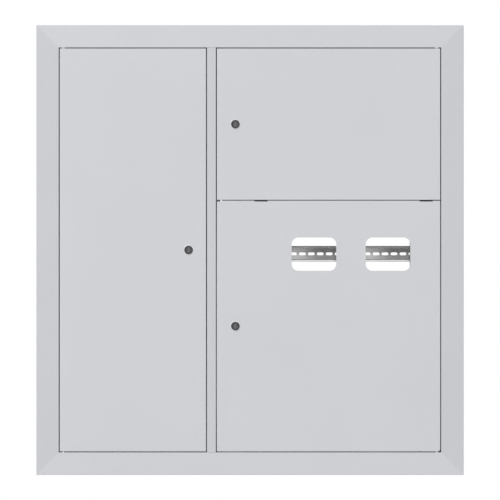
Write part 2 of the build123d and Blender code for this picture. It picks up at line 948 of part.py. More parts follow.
with BuildPart() as door_buffers:
    with BuildSketch(Plane.XZ.offset(-stop_plane)):
        with Locations(*buffer_points):
            Circle(buffer_radius)
    extrude(amount=stop_plane - door_back - buffer_gap)
    with BuildSketch(Plane.XZ.offset(-stop_plane)):
        with Locations(*buffer_points):
            Circle(buffer_stem_radius)
    extrude(amount=-sheet)
    with BuildSketch(Plane.XZ.offset(-lip_back)):
        with Locations(*buffer_points):
            Circle(buffer_bead_radius)
    extrude(amount=-sheet)
door_buffers.part.label = "door_buffers"

# Seam bracket: a tongue between the two right doors on a plate riveted to the crossbar. The
# pin pressed through the tongue carries the upper door and guides the lower one.
with BuildPart() as seam_hinge_bracket:
    with Locations((right_pin_x, (stop_plane + pin_y - hinge_pin_setback) / 2 + bracket_nose / 2, seam_z)):
        Box(bracket_tongue_width, stop_plane - front - bracket_nose, sheet)
    with Locations((right_pin_x - bracket_plate_shift, stop_plane - sheet / 2, seam_z)):
        Box(bracket_plate_width, sheet, bracket_plate_height)
    with BuildSketch(Plane.XY.offset(seam_z - seam_gap / 2 - hinge_pin_reach)):
        with Locations((right_pin_x, pin_y)):
            Circle(hinge_pin_radius)
    extrude(amount=seam_gap + 2 * hinge_pin_reach)
seam_hinge_bracket.part.label = "seam_hinge_bracket"

# Lower pins: fixed in the bottom strip, they carry the left door and the lower right door.
with BuildPart() as lower_hinge_pins:
    with BuildSketch(Plane.XY.offset(-opening_z - sheet)):
        with Locations(*top_pins):
            Circle(hinge_pin_radius)
    extrude(amount=sheet + door_gap + hinge_pin_reach)
    with BuildSketch(Plane.XY.offset(-opening_z)):
        with Locations(*top_pins):
            Circle(hinge_pin_radius + bush_rim)
    extrude(amount=bush_rim_height)
lower_hinge_pins.part.label = "lower_hinge_pins"

# Bushes: moulded sleeves in the top strip, with a rim in the gap over each door.
with BuildPart() as hinge_bushes:
    with BuildSketch(Plane.XY.offset(opening_z)):
        with Locations(*top_pins):
            Circle(bush_hole_radius)
            Circle(hinge_pin_radius + hinge_play, mode=Mode.SUBTRACT)
    extrude(amount=sheet + 1.0)
    with BuildSketch(Plane.XY.offset(opening_z)):
        with Locations(*top_pins):
            Circle(bush_hole_radius + bush_rim)
            Circle(hinge_pin_radius + hinge_play, mode=Mode.SUBTRACT)
    extrude(amount=-bush_rim_height)
hinge_bushes.part.label = "hinge_bushes"

# Doors: folded pans. Round the lock side the returns are relieved at the corners, and each
# hinge pin passes through the return above or below it.
skin_back = face_back


def door_pan(left, right, bottom, top, lock, lock_side, pin_x, rounded_corner=0.0):
    """A pan open to the rear, with lock hole, pin holes, corner reliefs and a welded earth stud."""
    with BuildPart() as pan:
        with BuildSketch(Plane.XZ.offset(-front)) as outline:
            with Locations(((left + right) / 2, (bottom + top) / 2)):
                Rectangle(right - left, top - bottom)
            if rounded_corner:
                corner = outline.vertices().sort_by(lambda v: v.X + v.Z)[-1]
                fillet(corner, radius=rounded_corner)
        extrude(amount=-door_depth)
        fillet(pan.faces().sort_by(Axis.Y)[0].edges(), radius=fold_radius)
        offset(amount=-sheet, openings=pan.faces().sort_by(Axis.Y)[-1])
        relief_x = lock_side - (corner_relief if lock_side == right else -corner_relief) / 2
        relief_x -= sheet if lock_side == right else -sheet
        for z in (bottom, top):
            with Locations((relief_x, (front + door_back) / 2 + fold_radius, z)):
                Box(corner_relief, door_depth, 2 * sheet, mode=Mode.SUBTRACT)
        with BuildSketch(Plane.XZ.offset(-skin_back)):
            with Locations(lock):
                Circle(lock_barrel_radius + lock_hole_play)
        extrude(amount=sheet, mode=Mode.SUBTRACT)
        with BuildSketch(Plane.XY.offset(bottom)):
            with Locations((pin_x, pin_y)):
                Circle(hinge_pin_radius + hinge_play)
        extrude(amount=top - bottom, mode=Mode.SUBTRACT)
        inward = 1 if lock_side == right else -1
        with BuildSketch(Plane.XZ.offset(-skin_back)):
            with Locations((pin_x + inward * door_stud_inset, bottom + door_stud_rise)):
                Circle(door_stud_radius)
        extrude(amount=-door_stud_length)
    return pan.part


with BuildPart() as left_door:
    add(
        door_pan(
            left_door_left, left_door_right, -door_top, door_top, left_lock, left_door_right, left_pin_x
        )
    )
left_door.part.label = "left_door"

with BuildPart() as upper_door:
    add(
        door_pan(
            right_door_left,
            right_door_right,
            upper_door_bottom,
            door_top,
            upper_lock,
            right_door_left,
            right_pin_x,
        )
    )
upper_door.part.label = "upper_door"

with BuildPart() as lower_door:
    add(
        door_pan(
            right_door_left,
            right_door_right,
            -door_top,
            lower_door_top,
            lower_lock,
            right_door_left,
            right_pin_x,
            lower_door_corner_radius,
        )
    )
    with BuildSketch(Plane.XZ.offset(-skin_back)):
        with Locations(*[(x, window_z) for x in window_x]):
            RectangleRounded(window_width, window_height, window_radius)
    extrude(amount=sheet, mode=Mode.SUBTRACT)
    top_cuts = [(x, tie_slot_length) for x in tie_slot_x]
    top_cuts += [(right_door_left + corner_relief / 2, corner_relief)]
    for x, length in top_cuts:
        with Locations((x, front + door_depth / 2, lower_door_top - top_slot_depth / 2)):
            Box(length, door_depth, top_slot_depth, mode=Mode.SUBTRACT)
lower_door.part.label = "lower_door"

# Stiffener: a hat section spot-welded down the inside of the tall door.
with BuildPart() as left_door_stiffener:
    extrude(
        folded_section(
            Plane.XY.offset(-door_top + stiffener_end),
            [
                (left_pin_x + stiffener_inset - hat_lip, skin_back),
                (left_pin_x + stiffener_inset, skin_back),
                (left_pin_x + stiffener_inset, skin_back + stiffener_depth),
                (left_pin_x + stiffener_inset + stiffener_web, skin_back + stiffener_depth),
                (left_pin_x + stiffener_inset + stiffener_web, skin_back),
                (left_pin_x + stiffener_inset + stiffener_web + hat_lip, skin_back),
            ],
        ),
        amount=2 * (door_top - stiffener_end),
    )
left_door_stiffener.part.label = "left_door_stiffener"


def top_pin(x):
    """A headed pin pushed up through the door's top return into the bush above it."""
    with BuildPart() as pin:
        with BuildSketch(Plane.XY.offset(door_top - sheet)):
            with Locations((x, pin_y)):
                Circle(hinge_pin_radius)
        extrude(amount=sheet + door_gap + sheet)
        with BuildSketch(Plane.XY.offset(door_top - sheet)):
            with Locations((x, pin_y)):
                Circle(hinge_pin_radius + pin_head_rim)
        extrude(amount=-pin_head_height)
    return pin.part


with BuildPart() as left_top_pin:
    add(top_pin(left_pin_x))
left_top_pin.part.label = "left_top_pin"

with BuildPart() as upper_top_pin:
    add(top_pin(right_pin_x))
upper_top_pin.part.label = "upper_top_pin"

# Window panes: clear sheets behind the door's two windows, under strips on welded studs.
pane_front = skin_back
pane_back = pane_front + pane_thickness
pane_half_width = window_width / 2 + pane_margin
pane_half_height = window_height / 2 + pane_margin
strip_length = 2 * pane_half_width + 6 * pane_screw_head
strip_rise = pane_half_height - pane_strip_overlap + pane_strip_height / 2
stud_points = [
    (x + side * (pane_half_width + 1.5 * pane_screw_head), window_z + rise * strip_rise)
    for x in window_x
    for side in (-1, 1)
    for rise in (-1, 1)
]

with BuildPart() as window_panes:
    with BuildSketch(Plane.XZ.offset(-pane_front)):
        with Locations(*[(x, window_z) for x in window_x]):
            RectangleRounded(2 * pane_half_width, 2 * pane_half_height, pane_margin)
    extrude(amount=-pane_thickness)
window_panes.part.label = "window_panes"

with BuildPart() as pane_strips:
    with BuildSketch(Plane.XZ.offset(-pane_back)):
        with Locations(*[(x, window_z + rise * strip_rise) for x in window_x for rise in (-1, 1)]):
            Rectangle(strip_length, pane_strip_height)
        with Locations(*stud_points):
            Circle(pane_screw_radius + screw_play, mode=Mode.SUBTRACT)
    extrude(amount=-sheet)
pane_strips.part.label = "pane_strips"

with BuildPart() as pane_studs:
    with BuildSketch(Plane.XZ.offset(-pane_front)):
        with Locations(*stud_points):
            Circle(pane_screw_radius)
    extrude(amount=-pane_thickness - sheet)
    with BuildSketch(Plane.XZ.offset(-pane_back - sheet)):
        with Locations(*stud_points):
            RegularPolygon(pane_screw_head, 6, major_radius=False)
    extrude(amount=-pane_nut_height)
pane_studs.part.label = "pane_studs"

# Locks: each has a turned housing through the door, a nut behind it, a core turned by a
# double-bit key, and a cam on the core's square end. The cam hangs down when unlocked.
cam_front = lip_back + cam_gap
cam_back = cam_front + cam_thickness
housing_end = front + lock_barrel_length
core_front = front - lock_head_height + lock_core_recess


def lock_housing(axis):
    """A head and bezel in front of the door, and a bored barrel through it."""
    with BuildPart() as housing:
        for radius, low, high in (
            (lock_bezel_radius, front - lock_bezel_height, front),
            (lock_head_radius, front - lock_head_height, front),
            (lock_barrel_radius, front, housing_end),
        ):
            with BuildSketch(Plane.XZ.offset(-low)):
                with Locations(axis):
                    Circle(radius)
            extrude(amount=low - high)
        with BuildSketch(Plane.XZ.offset(-housing_end)):
            with Locations(axis):
                Circle(lock_core_radius + lock_play)
        extrude(amount=housing_end - front + lock_head_height, mode=Mode.SUBTRACT)
    return housing.part


def lock_nut(axis):
    """A thin hexagonal nut on the barrel, tight against the door's skin."""
    with BuildPart() as nut:
        with BuildSketch(Plane.XZ.offset(-skin_back)):
            with Locations(axis):
                RegularPolygon(lock_nut_width / 2, 6, major_radius=False)
                Circle(lock_barrel_radius + screw_play, mode=Mode.SUBTRACT)
        extrude(amount=-lock_nut_height)
    return nut.part


def lock_core(axis):
    """A core with a raised key bar in front and a square end for the cam behind."""
    with BuildPart() as core:
        with BuildSketch(Plane.XZ.offset(-core_front)):
            with Locations(axis):
                Circle(lock_core_radius)
        extrude(amount=core_front - housing_end - core_tail)
        with BuildSketch(Plane.XZ.offset(-core_front)):
            with Locations(axis):
                Rectangle(key_bar_width, key_bar_length)
        extrude(amount=lock_core_recess - key_bar_sink)
        with BuildSketch(Plane.XZ.offset(-housing_end - core_tail)):
            with Locations(axis):
                Rectangle(core_square, core_square)
        extrude(amount=housing_end + core_tail - cam_back - core_rivet)
    return core.part


def lock_cam(axis):
    """A flat cam with a rounded end, hanging from the core's square."""
    with BuildPart() as cam:
        with BuildSketch(Plane.XZ.offset(-cam_front)):
            with Locations((axis[0], axis[1] - (cam_reach - cam_width / 2) / 2)):
                SlotCenterToCenter(cam_reach - cam_width / 2, cam_width, rotation=90)
            with Locations(axis):
                Rectangle(
                    core_square + 2 * core_square_play,
                    core_square + 2 * core_square_play,
                    mode=Mode.SUBTRACT,
                )
        extrude(amount=-cam_thickness)
    return cam.part


lock_parts = []
for name, axis in (("left", left_lock), ("upper", upper_lock), ("lower", lower_lock)):
    for kind, maker in (
        ("lock_housing", lock_housing),
        ("lock_nut", lock_nut),
        ("lock_core", lock_core),
        ("lock_cam", lock_cam),
    ):
        with BuildPart() as lock_piece:
            add(maker(axis))
        lock_piece.part.label = name + "_" + kind
        lock_parts.append(lock_piece)

os.makedirs("parts", exist_ok=True)
casing_parts = [
    frame_left,
    frame_right,
    frame_top,
    frame_bottom,
    centre_mullion,
    seam_crossbar,
    casing_left_wall,
    casing_right_wall,
    casing_top_wall,
    casing_bottom_wall,
    riser_trims,
    vertical_divider,
    horizontal_divider,
    grommets,
    right_cross_rails,
    left_cross_rails,
    meter_uprights,
    module_uprights,
    left_meter_rail,
    right_meter_rail,
    upper_module_rail,
    lower_module_rail,
    input_rail,
    rail_screws,
    module_cover,
    input_cover,
    cover_posts,
    panel_screws,
    neutral_bar,
    earth_bar,
    bar_holders,
    bar_screws,
    low_current_plate,
    plate_screw_set,
    earth_stud,
    door_buffers,
    seam_hinge_bracket,
    lower_hinge_pins,
    hinge_bushes,
]
door_parts = [
    left_door,
    left_door_stiffener,
    left_top_pin,
    upper_door,
    upper_top_pin,
    lower_door,
    window_panes,
    pane_strips,
    pane_studs,
]
for piece in casing_parts + door_parts + lock_parts:
    export_step(piece.part, "parts/" + piece.part.label + ".step")
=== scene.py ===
import bmesh
import bpy
import numpy as np
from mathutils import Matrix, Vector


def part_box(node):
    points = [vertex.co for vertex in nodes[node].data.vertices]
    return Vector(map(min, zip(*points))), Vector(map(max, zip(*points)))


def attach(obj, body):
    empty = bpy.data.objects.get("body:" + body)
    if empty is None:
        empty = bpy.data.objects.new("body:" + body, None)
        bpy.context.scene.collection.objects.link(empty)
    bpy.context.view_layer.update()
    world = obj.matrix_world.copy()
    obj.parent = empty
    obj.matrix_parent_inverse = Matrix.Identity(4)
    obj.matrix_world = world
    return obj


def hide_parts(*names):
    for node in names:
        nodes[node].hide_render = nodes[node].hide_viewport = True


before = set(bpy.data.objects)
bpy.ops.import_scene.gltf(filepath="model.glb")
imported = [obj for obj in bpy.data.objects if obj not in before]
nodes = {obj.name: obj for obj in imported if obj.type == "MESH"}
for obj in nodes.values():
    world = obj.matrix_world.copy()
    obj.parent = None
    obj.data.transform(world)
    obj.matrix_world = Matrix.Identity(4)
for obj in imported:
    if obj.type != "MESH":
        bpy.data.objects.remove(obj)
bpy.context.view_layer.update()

# The viewpoint: a long lens stands square on to the middle of the face, so that the board
# shows as it does on an elevation drawing, with no side in sight.
FACE_Y = -0.14
PICTURE_WIDTH = 1.1115
LENS = 600.0
SENSOR = 36.0
VIEW_END = 60.0
camera_data = bpy.data.cameras.new("elevation_camera")
camera_data.lens = LENS
camera_data.sensor_width = SENSOR
camera_data.clip_end = VIEW_END
camera = bpy.data.objects.new("elevation_camera", camera_data)
camera.location = (0.0, FACE_Y - PICTURE_WIDTH * LENS / SENSOR, 0.0)
camera.rotation_euler = (np.pi / 2, 0.0, 0.0)
bpy.context.scene.collection.objects.link(camera)
bpy.context.scene.camera = camera
bpy.context.scene.view_settings.view_transform = "Standard"

# Studio light: an even pale room and a broad soft lamp high on the left that gives the lock
# heads their bright left rims. Weaker ones on the right, in front and behind keep the other
# sides readable.
ROOM_LEVEL = 0.5
room = bpy.data.worlds.new("pale_room")
room.use_nodes = True
bpy.context.scene.world = room
room_nodes = room.node_tree.nodes
room_links = room.node_tree.links
room_nodes["Background"].inputs["Color"].default_value = (1.0, 1.0, 1.0, 1.0)
room_nodes["Background"].inputs["Strength"].default_value = ROOM_LEVEL
white = room_nodes.new("ShaderNodeBackground")
white.inputs["Color"].default_value = (1.0, 1.0, 1.0, 1.0)
white.inputs["Strength"].default_value = 1.0
ray = room_nodes.new("ShaderNodeLightPath")
seen = room_nodes.new("ShaderNodeMath")
seen.operation = "MAXIMUM"
room_links.new(ray.outputs["Is Camera Ray"], seen.inputs[0])
room_links.new(ray.outputs["Is Glossy Ray"], seen.inputs[1])
seen_or_through = room_nodes.new("ShaderNodeMath")
seen_or_through.operation = "MAXIMUM"
room_links.new(seen.outputs[0], seen_or_through.inputs[0])
room_links.new(ray.outputs["Is Transmission Ray"], seen_or_through.inputs[1])
chosen = room_nodes.new("ShaderNodeMixShader")
room_links.new(seen_or_through.outputs[0], chosen.inputs[0])
room_links.new(room_nodes["Background"].outputs[0], chosen.inputs[1])
room_links.new(white.outputs[0], chosen.inputs[2])
room_links.new(chosen.outputs[0], room_nodes["World Output"].inputs["Surface"])


def hang_lamp(name, place, watts, width):
    """A square soft lamp at a place, turned to face the middle of the board."""
    lamp_data = bpy.data.lights.new(name, "AREA")
    lamp_data.energy = watts
    lamp_data.size = width
    lamp = bpy.data.objects.new(name, lamp_data)
    lamp.location = place
    lamp.rotation_euler = (-lamp.location).to_track_quat("-Z", "Y").to_euler()
    bpy.context.scene.collection.objects.link(lamp)


hang_lamp("left_lamp", (-6.8, -7.2, 7.2), 685.0, 4.0)
hang_lamp("right_lamp", (6.0, -8.0, 1.6), 138.0, 5.0)
hang_lamp("front_lamp", (-4.0, -8.0, -0.2), 64.0, 1.5)
hang_lamp("rear_lamp", (1.5, 5.5, 3.5), 130.0, 3.0)

# The floor of the studio: a pale matt plane below the board that takes its soft shadow. It is
# scenery, and no part of the board.
FLOOR_LEVEL = -0.72
FLOOR_HALF = 2.6
FLOOR_SHADE = 0.65
FLOOR_ROUGHNESS = 0.9
corners = np.array([(-1, -1, 0), (1, -1, 0), (1, 1, 0), (-1, 1, 0)]) * FLOOR_HALF
corners[:, 2] = FLOOR_LEVEL
floor_mesh = bpy.data.meshes.new("studio_floor")
floor_mesh.from_pydata(corners.tolist(), [], [(0, 1, 2, 3)])
floor = bpy.data.objects.new("studio_floor", floor_mesh)
bpy.context.scene.collection.objects.link(floor)
floor_paint = bpy.data.materials.new("pale_floor")
floor_paint.use_nodes = True
floor_shader = floor_paint.node_tree.nodes["Principled BSDF"]
floor_shader.inputs["Base Color"].default_value = (FLOOR_SHADE, FLOOR_SHADE, FLOOR_SHADE, 1.0)
floor_shader.inputs["Roughness"].default_value = FLOOR_ROUGHNESS
floor_mesh.materials.append(floor_paint)

# Powder coat: every sheet that shows is steel, folded, then coated in a pale cool grey with a
# satin orange-peel skin. The upright strips get a darker copy of the same coat, a painted shade
# for the way the light falls on upright parts.
DOOR_GREY = (207, 208, 212)
UPRIGHT_PAINTED_SHADE_GREY = (201, 202, 206)
COAT_DRIFT = 0.22
COAT_ROUGHNESS = (0.38, 0.46)
ORANGE_PEEL = 0.0016
PEEL_HEIGHT = 0.00002
DARK_END = 0.3
LIGHT_END = 0.7
DRIFT_DETAIL = 3.0
SKIN_DETAIL = 2.0


def colour_of(red, green, blue):
    """A colour in display steps from 0 to 255 turned to linear light, with full opacity."""
    share = np.array([red, green, blue]) / 255.0
    linear = np.where(share <= 0.04045, share / 12.92, ((share + 0.055) / 1.055) ** 2.4)
    return (*linear.tolist(), 1.0)


def grained_finish(name, dark, light, cell, rough, bump, bump_cell, metal=0.0,
                   stretch=(1.0, 1.0, 1.0), spangled=False):
    """A finish whose colour drifts between two shades over cells of a size in metres.

    The same drift moves the roughness between its two values, and a finer noise lifts the skin.
    """
    finish = bpy.data.materials.new(name)
    finish.use_nodes = True
    tree = finish.node_tree
    shader = tree.nodes["Principled BSDF"]
    shader.inputs["Metallic"].default_value = metal
    place = tree.nodes.new("ShaderNodeTexCoord")
    mapping = tree.nodes.new("ShaderNodeMapping")
    mapping.inputs["Scale"].default_value = stretch
    tree.links.new(place.outputs["Object"], mapping.inputs["Vector"])
    if spangled:
        drift = tree.nodes.new("ShaderNodeTexVoronoi")
        level = drift.outputs["Color"]
    else:
        drift = tree.nodes.new("ShaderNodeTexNoise")
        drift.inputs["Detail"].default_value = DRIFT_DETAIL
        level = drift.outputs["Fac"]
    drift.inputs["Scale"].default_value = 1.0 / cell
    tree.links.new(mapping.outputs["Vector"], drift.inputs["Vector"])
    shades = tree.nodes.new("ShaderNodeValToRGB")
    shades.color_ramp.elements[0].position = DARK_END
    shades.color_ramp.elements[0].color = colour_of(*dark)
    shades.color_ramp.elements[1].position = LIGHT_END
    shades.color_ramp.elements[1].color = colour_of(*light)
    tree.links.new(level, shades.inputs["Fac"])
    tree.links.new(shades.outputs["Color"], shader.inputs["Base Color"])
    sheen = tree.nodes.new("ShaderNodeMapRange")
    sheen.inputs["To Min"].default_value = rough[0]
    sheen.inputs["To Max"].default_value = rough[1]
    tree.links.new(level, sheen.inputs["Value"])
    tree.links.new(sheen.outputs["Result"], shader.inputs["Roughness"])
    skin = tree.nodes.new("ShaderNodeTexNoise")
    skin.inputs["Scale"].default_value = 1.0 / bump_cell
    skin.inputs["Detail"].default_value = SKIN_DETAIL
    tree.links.new(mapping.outputs["Vector"], skin.inputs["Vector"])
    lift = tree.nodes.new("ShaderNodeBump")
    lift.inputs["Distance"].default_value = bump
    tree.links.new(skin.outputs["Fac"], lift.inputs["Height"])
    tree.links.new(lift.outputs["Normal"], shader.inputs["Normal"])
    return finish


def shade(colour, step):
    """The same colour moved up or down by a few display steps."""
    return tuple(part + step for part in colour)


def dress(finish, *names):
    """Puts a finish on whole CAD nodes, in every slot that they have."""
    for name in names:
        for slot in nodes[name].material_slots:
            slot.material = finish


def powder_coat(name, grey, drift, cell, rough):
    """A coat of one grey that drifts a few display steps up and down, with an orange-peel skin."""
    return grained_finish(name, shade(grey, -drift), shade(grey, drift), cell=cell, rough=rough,
                          bump=PEEL_HEIGHT, bump_cell=ORANGE_PEEL)


door_coat = powder_coat("door_powder_coat", DOOR_GREY, 1, COAT_DRIFT, COAT_ROUGHNESS)
# The uprights take the doors' coat a few steps darker, a painted shade.
upright_painted_shade_coat = powder_coat("upright_powder_coat_painted_shade", UPRIGHT_PAINTED_SHADE_GREY, 1, COAT_DRIFT, COAT_ROUGHNESS)
dress(door_coat, "left_door", "upper_door", "lower_door", "frame_top", "frame_bottom",
      "seam_crossbar")
dress(upright_painted_shade_coat, "frame_left", "frame_right", "centre_mullion")

# The carcass and its covers: the same coat inside, where the gun reaches less and the skin
# dries a little flatter.
INSIDE_GREY = (199, 200, 204)
INSIDE_DRIFT = 0.15
INSIDE_ROUGHNESS = (0.45, 0.56)
inside_coat = powder_coat("inside_powder_coat", INSIDE_GREY, 2, INSIDE_DRIFT, INSIDE_ROUGHNESS)
dress(inside_coat, "casing_left_wall", "casing_right_wall", "casing_top_wall",
      "casing_bottom_wall", "vertical_divider", "horizontal_divider", "module_cover",
      "input_cover")

# Galvanised hats and plate: roll-formed from hot-dip sheet, whose spangle shows as pale
# crystals just under a centimetre across.
SPANGLE = 0.008
galvanised = grained_finish("galvanised_spangle", (164, 167, 171), (184, 187, 191), cell=SPANGLE,
                            rough=(0.36, 0.48), bump=0.00001, bump_cell=0.0007, metal=0.85,
                            spangled=True)
dress(galvanised, "right_cross_rails", "left_cross_rails", "meter_uprights", "module_uprights",
      "low_current_plate", "left_door_stiffener", "pane_strips")

# Module rails: top-hat section, cold-rolled strip, zinc plated, with the faint lengthwise
# lines of the rolls.
ROLL_LINES = (0.05, 1.0, 1.0)
rolled_zinc = grained_finish("rolled_zinc", (150, 150, 150), (172, 172, 172), cell=0.004,
                             rough=(0.3, 0.42), bump=0.00001, bump_cell=0.0006, metal=0.8,
                             stretch=ROLL_LINES)
dress(rolled_zinc, "upper_module_rail", "lower_module_rail", "input_rail")

# Meter rails: the same section behind the windows, zinc plated and left bright. Their colour holds
# painted light: level bands of painted highlight and painted shade, and a painted reflection that
# darkens towards the hinge side. A band is the share of the height where it starts, its shade at
# the lock side and its shade at the hinge side.
RAIL_PAINTED_LIGHT_BANDS = ((0.0, 190, 150), (0.035, 250, 244), (0.16, 186, 118), (0.5, 154, 66),
              (0.845, 255, 250), (0.91, 92, 62))
PAINTED_SHADE_FADE_START = -0.05
PAINTED_SHADE_FADE_END = 0.018


def painted_light_rail_finish(name, centre_x, centre_z, height):
    """Bright zinc in level bands of painted highlight and painted shade, each with a shade at the lock
    side and one at the hinge side.

    The height picks the band, and a smooth step across the window mixes its two shades into a painted
    reflection that darkens towards the hinge side.
    """
    finish = grained_finish(name, (240, 240, 240), (255, 255, 255), cell=0.003, rough=(0.1, 0.16),
                            bump=0.000001, bump_cell=0.0006, metal=1.0, stretch=ROLL_LINES)
    tree = finish.node_tree
    shader = tree.nodes["Principled BSDF"]
    grain = shader.inputs["Base Color"].links[0].from_socket
    place = tree.nodes.new("ShaderNodeTexCoord")
    axes = tree.nodes.new("ShaderNodeSeparateXYZ")
    tree.links.new(place.outputs["Object"], axes.inputs["Vector"])
    up = tree.nodes.new("ShaderNodeMapRange")
    up.inputs["From Min"].default_value = centre_z - height / 2
    up.inputs["From Max"].default_value = centre_z + height / 2
    tree.links.new(axes.outputs["Z"], up.inputs["Value"])
    across = tree.nodes.new("ShaderNodeMapRange")
    across.interpolation_type = "SMOOTHSTEP"
    across.inputs["From Min"].default_value = centre_x + PAINTED_SHADE_FADE_START
    across.inputs["From Max"].default_value = centre_x + PAINTED_SHADE_FADE_END
    tree.links.new(axes.outputs["X"], across.inputs["Value"])
    # The two shades mix into a painted reflection, darker towards the hinge side.
    sides = tree.nodes.new("ShaderNodeMix")
    sides.data_type = "RGBA"
    tree.links.new(across.outputs["Result"], sides.inputs["Factor"])
    # Each ramp paints the level bands of highlight and shade for one side of the window.
    for column, socket in ((1, "A"), (2, "B")):
        bands = tree.nodes.new("ShaderNodeValToRGB")
        bands.color_ramp.interpolation = "CONSTANT"
        bands.color_ramp.elements.remove(bands.color_ramp.elements[1])
        bands.color_ramp.elements[0].color = colour_of(*(RAIL_PAINTED_LIGHT_BANDS[0][column],) * 3)
        for band in RAIL_PAINTED_LIGHT_BANDS[1:]:
            bands.color_ramp.elements.new(band[0]).color = colour_of(*(band[column],) * 3)
        tree.links.new(up.outputs["Result"], bands.inputs["Fac"])
        tree.links.new(bands.outputs["Color"], sides.inputs[socket])
    grained = tree.nodes.new("ShaderNodeMix")
    grained.data_type = "RGBA"
    grained.blend_type = "MULTIPLY"
    grained.inputs["Factor"].default_value = 1.0
    tree.links.new(sides.outputs["Result"], grained.inputs["A"])
    tree.links.new(grain, grained.inputs["B"])
    tree.links.new(grained.outputs["Result"], shader.inputs["Base Color"])
    return finish


# Each meter rail gets its own painted light, with its fade centred on its window.
window_low, window_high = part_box("window_panes")
window_pitch = (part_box("right_meter_rail")[0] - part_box("left_meter_rail")[0])[0]
for rail_name, share in (("left_meter_rail", -0.5), ("right_meter_rail", 0.5)):
    rail_low, rail_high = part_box(rail_name)
    rail_middle = (rail_low + rail_high) / 2
    window_x = (window_low[0] + window_high[0]) / 2 + share * window_pitch
    dress(painted_light_rail_finish(rail_name + "_zinc", window_x, rail_middle[2], rail_high[2] - rail_low[2]),
          rail_name)

# Small fittings: cover posts and hinge pins turned from steel bar, and lock cams stamped from
# steel strip, all bright zinc plated.
bright_zinc = grained_finish("bright_zinc", (176, 179, 184), (205, 207, 211), cell=0.003,
                             rough=(0.22, 0.34), bump=0.000003, bump_cell=0.0008, metal=0.9)
dress(bright_zinc, "cover_posts", "lower_hinge_pins", "left_top_pin", "upper_top_pin",
      "left_lock_cam", "upper_lock_cam", "lower_lock_cam")

# The seam bracket: a tongue between the two right doors, on a plate riveted to the crossbar. It
# is phosphated steel, a dark finish of its own, darkened further to near black as a painted shade
# for the deep seam round it.
# Near black: the phosphate's own dark grey deepened by painted shade.
phosphated_with_painted_shade = grained_finish("phosphated_steel_painted_shade", (42, 42, 45), (52, 52, 55), cell=0.003,
                            rough=(0.48, 0.6), bump=0.00001, bump_cell=0.0005, metal=0.2)
dress(phosphated_with_painted_shade, "seam_hinge_bracket")

# Panel screws: the covers' pan heads with a cross recess, upset and thread-rolled from steel
# wire, then zinc plated.
RECESS_WIDTH = 0.0011
RECESS_DEPTH = 0.0014
RECESS_EDGE = 0.0002
RECESS_REACH = 0.62
HEAD_ROUND = 0.0006
CROWN_SHARE = 0.35
UNDER_RIM = 0.4
OVER_RIM = 0.3
SHANK_SHARE = 0.5
DOME_ROWS = 22
SCREW_COLUMNS = 48
MERGE_DISTANCE = 1e-7
SHARP_ANGLE = np.radians(40)


def solids_of(node):
    """Lowest and highest corners of each separate solid in a CAD node, as one array.

    Corners that meet share a number, every triangle takes the lowest number of its corners,
    and this is repeated until nothing changes.
    """
    mesh = nodes[node].data
    flat = np.empty(len(mesh.vertices) * 3)
    mesh.vertices.foreach_get("co", flat)
    mesh.calc_loop_triangles()
    triangles = np.empty(len(mesh.loop_triangles) * 3, dtype=int)
    mesh.loop_triangles.foreach_get("vertices", triangles)
    spots, same = np.unique(flat.reshape(-1, 3).round(6), axis=0, return_inverse=True)
    triangles = same.ravel()[triangles].reshape(-1, 3)
    group = np.arange(len(spots))
    while True:
        lowest = group[triangles].min(axis=1)
        joined = group.copy()
        np.minimum.at(joined, triangles, lowest[:, None])
        joined = joined[joined]
        if (joined == group).all():
            break
        group = joined
    return np.array([(spots[group == g].min(axis=0), spots[group == g].max(axis=0))
                     for g in np.unique(group)])


def rounded(path, radius, steps=4, closed=False):
    """A path whose corners are short curves, from one radius before the corner to one after it.

    Each curve is (1-t)^2 start + 2t(1-t) corner + t^2 end, with t from 0 to 1.
    """
    path = np.asarray(path, dtype=float)
    back = np.roll(path, 1, axis=0) - path
    ahead = np.roll(path, -1, axis=0) - path
    back_length = np.linalg.norm(back, axis=1, keepdims=True)
    ahead_length = np.linalg.norm(ahead, axis=1, keepdims=True)
    reach = np.minimum(radius, 0.45 * np.minimum(back_length, ahead_length))
    start = (path + back / back_length * reach)[:, None]
    end = (path + ahead / ahead_length * reach)[:, None]
    t = np.linspace(0, 1, steps)[None, :, None]
    curve = (1 - t) ** 2 * start + 2 * t * (1 - t) * path[:, None] + t ** 2 * end
    if closed:
        return curve.reshape(-1, 2)
    return np.vstack([path[:1], curve[1:-1].reshape(-1, 2), path[-1:]])


def turned(profile, columns=SCREW_COLUMNS):
    """A profile of (radius, height) carried round its axis, which points to the front.

    x = radius cos(angle), y = -height, z = radius sin(angle).
    """
    angle = np.arange(columns) * 2 * np.pi / columns
    radius, height = profile[:, 0][:, None], profile[:, 1][:, None]
    return np.stack([radius * np.cos(angle), -height + 0 * angle, radius * np.sin(angle)], axis=-1)


